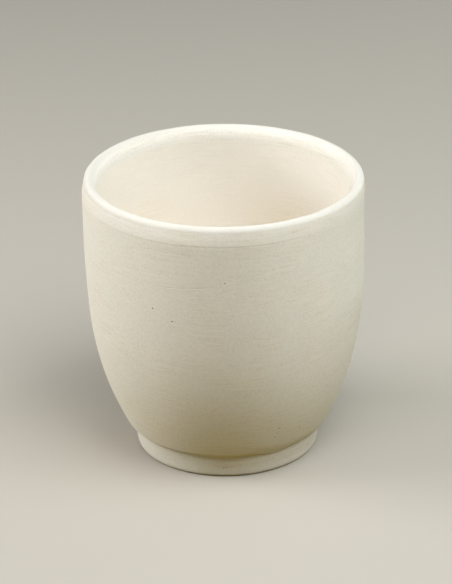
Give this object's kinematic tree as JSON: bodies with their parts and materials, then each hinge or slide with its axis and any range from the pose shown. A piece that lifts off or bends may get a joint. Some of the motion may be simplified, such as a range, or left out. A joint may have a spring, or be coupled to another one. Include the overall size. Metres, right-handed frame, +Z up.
{
  "type": "handleless mug",
  "caption": "Handleless mug of unglazed white fired clay, with a full rounded body, a leaning rim band under a rounded lip, and a narrow foot ring, for holding a hot or cold drink.",
  "frame": {"origin": "centre of the circle that the foot ring stands on, at table height", "axes": "+Z up along the mug's axis of turning, out of its mouth"},
  "size_m": [0.0916, 0.0916, 0.095],
  "materials": {
    "bisque": "dull unglazed fired clay, pale cream, with faint turning marks"
  },
  "bodies": {
    "root": {"mug": "bisque"}
  },
  "joints": []
}
